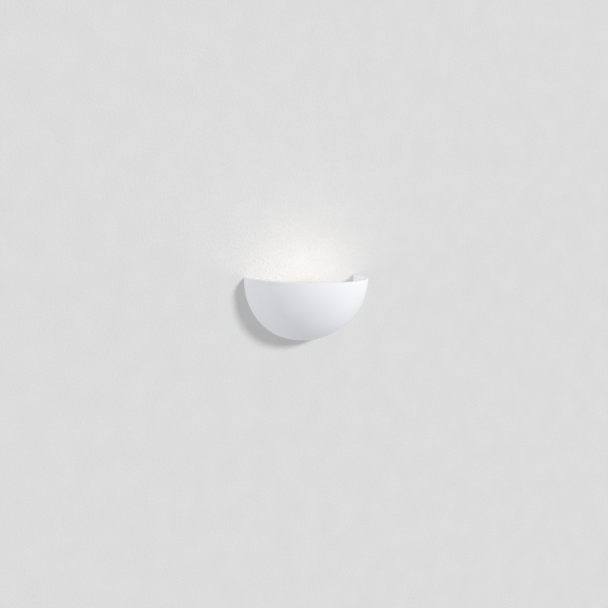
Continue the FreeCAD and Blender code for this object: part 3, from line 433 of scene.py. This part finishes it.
# %% Holder cap
holder_low, holder_high, HOLDER_RADIUS = reach("lampholder_cap")
TUBE_HOLE, TUBE_NECK = 5 * MM, 8.5 * MM
SKIRT_OUTSIDE, SKIRT_INSIDE = 17.4 * MM, 15.4 * MM
holder_outline = eased(drawn(
    (TUBE_HOLE, 0, holder_low, 0), (HOLDER_RADIUS, -2.5, holder_low, 0),
    (HOLDER_RADIUS, 0, holder_low, 2.5), (HOLDER_RADIUS, 0, barrel_low, -0.3),
    (SKIRT_OUTSIDE, 0, barrel_low, -0.3), (SKIRT_OUTSIDE, 0, holder_high, 0),
    (SKIRT_INSIDE, 0, holder_high, 0), (SKIRT_INSIDE, 0, holder_low, 3),
    (TUBE_NECK, 0, holder_low, 3), (TUBE_NECK, 0, holder_low, 7),
    (TUBE_HOLE, 0, holder_low, 7), (TUBE_HOLE, 0, holder_low, 0),
), 1 * MM)
holder = surface("holder_cap", [turned(holder_outline)])
stands_for(holder, "wall_bracket", "white_phenolic", "lampholder_cap")

# %% [markdown]
# ## How a finish is put together
#
# Every finish starts as a Principled shader with the colour, roughness and metal of the
# real material. Then comes what makes it look made and not drawn: a slow change of tone, a
# grain in the roughness, and a height that tips the surface a little. The patterns are
# sized in millimetres and read Object coordinates, so they lie still on the piece.


# %% Colour, node and pattern helpers
def colour(code):
    """An sRGB hex code as linear red, green, blue and full cover."""
    parts = [int(code[start:start + 2], 16) / 255 for start in (1, 3, 5)]
    linear = [part / 12.92 if part <= 0.04045 else ((part + 0.055) / 1.055) ** 2.4
              for part in parts]
    return linear + [1.0]


def add(tree, kind, links=None, **settings):
    """A node of this kind. Links and values go to its inputs, settings to the node itself."""
    node = tree.nodes.new(kind)
    for name, value in settings.items():
        setattr(node, name, value)
    for socket, value in (links or {}).items():
        if isinstance(value, bpy.types.NodeSocket):
            tree.links.new(value, node.inputs[socket])
        else:
            node.inputs[socket].default_value = value
    return node


def start_finish(name, base, roughness, metallic=0.0, **more):
    """A material with a Principled shader. More are the shader's own sockets, as values."""
    material = bpy.data.materials.new(name)
    material.use_nodes = True
    tree = material.node_tree
    shader = tree.nodes["Principled BSDF"]
    shader.inputs["Base Color"].default_value = colour(base)
    shader.inputs["Roughness"].default_value = roughness
    shader.inputs["Metallic"].default_value = metallic
    for socket, value in more.items():
        shader.inputs[socket.replace("_", " ")].default_value = value
    material.diffuse_color = colour(base)
    return material, tree, shader


def pattern(tree, size_mm, detail=2.0, stretch=(1, 1, 1)):
    """Noise in blotches of about size_mm, longer along an axis with a small stretch."""
    where = add(tree, "ShaderNodeTexCoord").outputs["Object"]
    scale = [1 / (size_mm * MM) * part for part in stretch]
    mapped = add(tree, "ShaderNodeMapping", {"Vector": where, "Scale": scale}).outputs[0]
    noise = {"Vector": mapped, "Scale": 1.0, "Detail": detail}
    return add(tree, "ShaderNodeTexNoise", noise).outputs["Fac"]


def between(tree, factor, low_value, high_value, low_in=0.35, high_in=0.65):
    """The pattern's middle range stretched to run from low_value to high_value."""
    return add(tree, "ShaderNodeMapRange", {
        "Value": factor, "From Min": low_in, "From Max": high_in,
        "To Min": low_value, "To Max": high_value,
    }).outputs[0]


def with_share(tree, fine, share, coarse):
    """coarse + share * fine: the fine pattern rides on the coarse one."""
    values = {0: fine, 1: share, 2: coarse}
    return add(tree, "ShaderNodeMath", values, operation="MULTIPLY_ADD").outputs[0]


def tone(tree, shader, factor, first, second):
    """The base colour moves between two tones with the pattern."""
    values = {0: factor, 6: colour(first), 7: colour(second)}
    mix = add(tree, "ShaderNodeMix", values, data_type="RGBA")
    tree.links.new(mix.outputs[2], shader.inputs["Base Color"])


def relief(tree, shader, height, depth_mm, strength):
    """Tips the surface as if the pattern stood depth_mm high."""
    values = {"Height": height, "Distance": depth_mm * MM, "Strength": strength}
    bump = add(tree, "ShaderNodeBump", values)
    tree.links.new(bump.outputs[0], shader.inputs["Normal"])


# %% [markdown]
# ## Unglazed ceramic
#
# The bowl is fired white clay with no glaze, rubbed smooth. It scatters light evenly and
# has almost no shine. Close up it has a fine tooth and a slow ripple from the mould, and
# faint clouds where the clay dried unevenly. All of these are weak: at arm's length the
# bowl is simply white. The real tooth is about a tenth of a millimetre wide. That would not
# show in the picture, so it is drawn nearly a millimetre wide.


# %% Unglazed ceramic
def unglazed_ceramic():
    """Bisque: even white, very rough, with a fine tooth and faint clouds."""
    material, tree, shader = start_finish(
        "unglazed_ceramic", "#F6F7FA", 0.72, Specular_IOR_Level=0.35)
    clouds = between(tree, pattern(tree, 45, 3), 0, 1)
    tone(tree, shader, clouds, "#F7F8FB", "#F4F5F8")
    rubbed = between(tree, pattern(tree, 6, 2), 0.66, 0.78)
    tree.links.new(rubbed, shader.inputs["Roughness"])
    tooth, ripple = pattern(tree, 0.9, 4), pattern(tree, 14, 1)
    relief(tree, shader, with_share(tree, tooth, 0.22, ripple), 0.12, 0.6)
    return material


# %% [markdown]
# ## Plastics
#
# The moulded parts differ in colour and in the polish of their mould. Thermoset is dense
# and slightly glossy, nylon is waxier, and polycarbonate is smooth. One function covers them
# because the process is the same: a tone, a roughness with a grain, and a faint orange peel.
# Glaze, lacquer, glass bead and wire skins are as plain, so they use it too. A real mould's
# grain and felt's fibres are a few hundredths of a millimetre wide. Neither would show, so
# the grain is drawn about a millimetre wide and the fibres at 0.4 mm.


# %% Moulded plastics, felt and the striped wire
def moulded(name, base, second, roughness, grain_mm=1.2, depth_mm=0.02):
    """A plain moulded skin: two close tones, a grain in the gloss and a trace of unevenness."""
    material, tree, shader = start_finish(name, base, roughness)
    tone(tree, shader, between(tree, pattern(tree, 12, 2), 0, 1), base, second)
    grain = pattern(tree, grain_mm, 3)
    gloss = between(tree, grain, roughness - 0.05, roughness + 0.07)
    tree.links.new(gloss, shader.inputs["Roughness"])
    relief(tree, shader, grain, depth_mm, 0.5)
    return material


def opal_plastic():
    """Diffusing polycarbonate, lit from behind: milky, smooth and warm."""
    material, tree, shader = start_finish(
        "opal_polycarbonate", "#FFF4E2", 0.28,
        Emission_Color=colour("#FFDDB0"), Emission_Strength=1.15)
    cloud = between(tree, pattern(tree, 9, 2), 0, 1)
    tone(tree, shader, cloud, "#FFF4E2", "#FFEFD8")
    relief(tree, shader, pattern(tree, 2, 2), 0.01, 0.4)
    return material


def lit_phosphor():
    """Yellow phosphor gel over the light-emitting chip."""
    material, tree, shader = start_finish(
        "led_phosphor", "#F2C84B", 0.35,
        Emission_Color=colour("#FFE0A0"), Emission_Strength=3.0)
    tone(tree, shader, between(tree, pattern(tree, 0.6, 2), 0, 1), "#F2C84B", "#EDBE3A")
    return material


def pressed_felt():
    """Wool felt: a tangle of short fibres, soft and without shine."""
    material, tree, shader = start_finish("pressed_felt", "#D8D4CA", 0.95, Sheen_Weight=0.4)
    fibres = pattern(tree, 0.4, 6, (1, 1, 0.3))
    tone(tree, shader, between(tree, fibres, 0, 1), "#D8D4CA", "#BFBBB1")
    relief(tree, shader, fibres, 0.15, 0.8)
    return material


def striped_wire():
    """Green insulation with a yellow stripe moulded along its upper side."""
    material, tree, shader = start_finish("green_yellow_pvc", "#3E8F35", 0.42)
    faces = add(tree, "ShaderNodeNewGeometry").outputs["Normal"]
    upward = add(tree, "ShaderNodeSeparateXYZ", {0: faces}).outputs["Z"]
    wobble = with_share(tree, pattern(tree, 8, 1), 0.4, upward)
    tone(tree, shader, between(tree, wobble, 0, 1, 0.42, 0.5), "#3E8F35", "#E4C62A")
    relief(tree, shader, pattern(tree, 1, 2), 0.02, 0.4)
    return material


# %% [markdown]
# ## Metals
#
# The plate, arm and screws are steel with a thin zinc coat, blue-grey and softly cloudy
# from the bath. The strip keeps the fine parallel lines of the rolling mill, so its noise
# is stretched along the strip. Real lines are a few hundredths of a millimetre wide and
# would not show, so they are drawn about a third of a millimetre wide. Turned brass has
# rings from the lathe that are as fine, and it gets a grain without direction. Nickel plate
# is smoother and warmer than chrome.

# %% Plated and turned metals
ALONG_STRIP, NO_WAY = (0.04, 1, 1), (1, 1, 1)


def plated(name, base, second, roughness, cloud_mm=7.0, line_mm=0.35, stretch=ALONG_STRIP):
    """Metal with a thin coat: clouds in tone and gloss over the lines or grain of its making."""
    material, tree, shader = start_finish(name, base, roughness, 1.0)
    cloud = pattern(tree, cloud_mm, 3)
    tone(tree, shader, between(tree, cloud, 0, 1), base, second)
    lines = pattern(tree, line_mm, 3, stretch)
    mixed = with_share(tree, lines, 0.5, cloud)
    gloss = between(tree, mixed, roughness - 0.08, roughness + 0.12, 0.55, 0.95)
    tree.links.new(gloss, shader.inputs["Roughness"])
    relief(tree, shader, lines, 0.012, 0.5)
    return material


# %% [markdown]
# ## Giving every solid its finish
#
# The record names a slot for each solid, and each slot is one real material. A table from
# slot to finish dresses all the solids at once, and the new shells take theirs from the same
# table, so a later change of finish reaches both.

# %% Finish of every slot
FINISHES = {
    # fired clay, rubbed by hand: dead matt
    "white_ceramic": unglazed_ceramic(),
    # metals: zinc, nickel and tin from a bath, turned brass and solder, all softly cloudy
    "zinc_plated_steel": plated("zinc_plated_steel", "#B4B8BC", "#A3A8AD", 0.36),
    "screw_steel": plated("bright_zinc", "#C2C4C4", "#B2B4B2", 0.28, 3.0, 0.3, NO_WAY),
    "brass": plated("turned_brass", "#C9A55C", "#B8934A", 0.28, 4.0, 0.3, NO_WAY),
    "nickel_plate": plated("nickel_plate", "#C9C5BC", "#BDB8AE", 0.2, 5.0, 0.5, NO_WAY),
    "tinned_copper": plated("tinned_copper", "#C4C2BC", "#B3B0A8", 0.32, 2.0, 0.3, NO_WAY),
    "solder": plated("solder", "#A9AAAC", "#98999B", 0.4, 1.5, 0.4, NO_WAY),
    # whites: lacquer on the board, thermoset, nylon, glazed porcelain, polycarbonate
    "board_aluminium": moulded("white_solder_mask", "#EDEDEA", "#E4E4E0", 0.4),
    "white_phenolic": moulded("white_thermoset", "#ECEAE3", "#E6E3DA", 0.3),
    "white_nylon": moulded("white_nylon", "#E9E7E0", "#DEDBD2", 0.45),
    "white_porcelain": moulded("white_porcelain", "#F0EEE8", "#E9E6DE", 0.2),
    "white_polycarbonate": moulded("white_polycarbonate", "#F1F0EC", "#EBEAE5", 0.32),
    # what is lit
    "opal_polycarbonate": opal_plastic(),
    "led_phosphor": lit_phosphor(),
    # darks: nylon from a matt mould, glassy bead, woven glass board, epoxy
    "black_nylon": moulded("black_nylon", "#1B1B1D", "#242427", 0.5),
    "black_glass": moulded("black_glass", "#101013", "#18181C", 0.12),
    "green_board": moulded("glass_fibre_board", "#1E6B3A", "#195C31", 0.4, 0.6),
    "component_black": moulded("epoxy_black", "#1A1A1A", "#232323", 0.45),
    # soft pieces
    "silicone": moulded("silicone", "#D9D8D2", "#CECDC6", 0.38),
    "felt": pressed_felt(),
    # wires: extruded, smooth and a little waxy, in the three colours of mains wiring
    "brown_pvc": moulded("brown_pvc", "#5A3420", "#4E2C1A", 0.42),
    "blue_pvc": moulded("blue_pvc", "#1F5FA8", "#1A5496", 0.42),
    "green_yellow_pvc": striped_wire(),
}
slot_of = {row["node"]: row["material_slot"] for row in record["subparts"]}


def dress(piece, slot):
    """The piece's only material is the slot's finish."""
    piece.data.materials.clear()
    piece.data.materials.append(FINISHES[slot])


for node, solid in frame["nodes"].items():
    dress(solid, slot_of[node])
new_shells = (bowl, bosses, globe, housing, cap, barrel, holder)
for piece in new_shells:
    dress(piece, piece["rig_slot"])
print(f"{len(FINISHES)} finishes on {len(slot_of)} solids and {len(new_shells)} new shells")

# %% [markdown]
# ## The stage
#
# The lamp is shown on a painted wall, because a wall light without its wall has nothing to
# light. The wall is one large face that only the camera sees, so the light
# reaches the plate's back too. Its back is clear, so the object can be looked at from
# behind. The paint has the pebbled skin of a roller.


# %% Wall and floor
def roller_paint():
    """Matt paint with the small round bumps a roller leaves, and nothing at all behind."""
    material, tree, shader = start_finish(
        "roller_paint", "#DEDEDE", 0.85, Specular_IOR_Level=0.2)
    pebbles = with_share(tree, pattern(tree, 2.4, 2), 0.45, pattern(tree, 5.5, 2))
    relief(tree, shader, pebbles, 1.4, 0.55)
    tone(tree, shader, between(tree, pattern(tree, 60, 2), 0, 1), "#DFDFDF", "#DDDDDD")
    clear = add(tree, "ShaderNodeBsdfTransparent").outputs[0]
    back = add(tree, "ShaderNodeNewGeometry").outputs["Backfacing"]
    choice = add(tree, "ShaderNodeMixShader", {0: back, 1: shader.outputs[0], 2: clear})
    tree.links.new(choice.outputs[0], tree.nodes["Material Output"].inputs["Surface"])
    return material


def pale_floor():
    """Plain matt sheet."""
    material, tree, shader = start_finish("pale_floor", "#F2F2F2", 0.9)
    tone(tree, shader, between(tree, pattern(tree, 200, 2), 0, 1), "#F2F2F2", "#EFEFEF")
    return material


def sheet_of(name, corner, side, other, material):
    """A flat four-cornered sheet that is part of the stage."""
    corner, side, other = np.array(corner), np.array(side), np.array(other)
    corners = [corner, corner + side, corner + side + other, corner + other]
    mesh = bpy.data.meshes.new(name)
    mesh.from_pydata(corners, [], [(0, 1, 2, 3)])
    mesh.materials.append(material)
    piece = bpy.data.objects.new(name, mesh)
    bpy.context.scene.collection.objects.link(piece)
    piece.visible_diffuse = False
    piece.visible_shadow = False
    return piece


FLOOR_DROP, SIDE, WALL_HEIGHT, FLOOR_DEPTH = 1.5, 8.0, 5.0, 12.0
BEHIND_PLATE = 0.4 * MM
wall = sheet_of("wall", (-SIDE / 2, BEHIND_PLATE, -FLOOR_DROP),
                (SIDE, 0, 0), (0, 0, WALL_HEIGHT), roller_paint())
sheet_of("floor", (-SIDE / 2, -FLOOR_DEPTH / 2, -FLOOR_DROP),
         (SIDE, 0, 0), (0, FLOOR_DEPTH, 0), pale_floor())
wall.visible_glossy = False
wall.visible_transmission = False
print(f"wall {SIDE:.0f} x {WALL_HEIGHT:.0f} m, floor {FLOOR_DROP} m below the plate")

# %% [markdown]
# ## Light
#
# Four things light the bowl. Soft daylight comes from all round. A sun from the front and
# upper right throws the shadow on the wall, and it is wide, so the shadow's edge is soft.
# The wall sends light back to the bowl's left side: that is a very wide sun which shines
# from behind the wall's plane, so the wall's own face gets none of it. The bulb's lamp
# stands inside the dome, which lets it through, and adds the glow above the rim.


# %% Sun, wall bounce and bulb
def lamp(name, kind, energy, tint, **settings):
    """A light of this kind at the origin."""
    data = bpy.data.lights.new(name, kind)
    data.energy = energy
    data.color = colour(tint)[:3]
    for setting, value in settings.items():
        setattr(data, setting, value)
    source = bpy.data.objects.new(name, data)
    bpy.context.scene.collection.objects.link(source)
    return source


def aimed(source, place, towards):
    """Stands at place and faces along towards."""
    forward = np.array(towards, float) / np.linalg.norm(towards)
    right = np.cross(forward, [0, 0, 1])
    right /= np.linalg.norm(right)
    up = np.cross(right, forward)
    rows = [[right[row], up[row], -forward[row], place[row]] for row in range(3)]
    source.matrix_world = Matrix(rows + [[0, 0, 0, 1]])


# A sun shines the same everywhere, so only its direction counts and not its place.
SUN_WAY = (-0.54, 1.0, -0.44)
WALL_BOUNCE_WAY = (1.0, -0.3, -0.15)
sun = lamp("sun", "SUN", 1.48, "#FFFFFF", angle=math.radians(10))
aimed(sun, (1, -2, 1), SUN_WAY)
bounce = lamp("wall_bounce", "SUN", 0.5, "#F8FAFF", angle=math.radians(40))
aimed(bounce, (-1, 0.3, 0), WALL_BOUNCE_WAY)
bulb_light = lamp("bulb_light", "POINT", 0.2, "#FFFBF5", shadow_soft_size=18 * MM)
bulb_light.location = LAMP_FOOT + globe_middle * LAMP_AXIS
globe.visible_shadow = False

# %% [markdown]
# ## Daylight
#
# The world is a plain white room. The camera, and what metal mirrors, see it at full white,
# while the object is lit by it at a lower strength, so that the white bowl keeps its shading.

# %% World
AMBIENT, FULL_WHITE = 0.6, 1.0
world = bpy.data.worlds.new("daylight")
bpy.context.scene.world = world
world.use_nodes = True
sky = world.node_tree
background = sky.nodes["Background"]
path = add(sky, "ShaderNodeLightPath").outputs
seen = path["Is Camera Ray"]
for ray in ("Is Glossy Ray", "Is Transmission Ray"):
    seen = add(sky, "ShaderNodeMath", {0: seen, 1: path[ray]}, operation="MAXIMUM").outputs[0]
strength = add(sky, "ShaderNodeMapRange", {
    "Value": seen, "To Min": AMBIENT, "To Max": FULL_WHITE}).outputs[0]
sky.links.new(strength, background.inputs["Strength"])
background.inputs["Color"].default_value = colour("#FEFEFF")
print("sun, wall bounce, bulb and daylight are set")

# %% [markdown]
# ## Camera
#
# The photograph was taken from the left of the lamp, a little above it and more than two
# metres away, so the bowl's lines hardly converge. The camera's place is worked out from the
# point it looks at, the two angles and the distance, and then it is rolled a little, as the
# photograph is.

# %% Camera at the photograph's view
IMAGE_SIDE = 608
FOCAL_PIXELS = 1000
SENSOR_MM = 36
TURN, RISE, ROLL = math.radians(29.8), math.radians(7.0), math.radians(1.17)
DISTANCE = 2.34
AIM = np.array([8.0 * MM, 0.0, RIM - 66.5 * MM])

level_way = math.cos(RISE)
view_way = np.array([math.sin(TURN) * level_way, math.cos(TURN) * level_way, -math.sin(RISE)])
camera_data = bpy.data.cameras.new("camera")
camera_data.sensor_width = SENSOR_MM
camera_data.lens = SENSOR_MM * FOCAL_PIXELS / IMAGE_SIDE
camera = bpy.data.objects.new("camera", camera_data)
bpy.context.scene.collection.objects.link(camera)
aimed(camera, AIM - DISTANCE * view_way, view_way)
camera.matrix_world = camera.matrix_world @ Matrix.Rotation(ROLL, 4, "Z")
bpy.context.scene.camera = camera
bpy.context.scene.view_settings.view_transform = "Standard"
print(f"lens {camera_data.lens:.1f} mm at {DISTANCE} m")
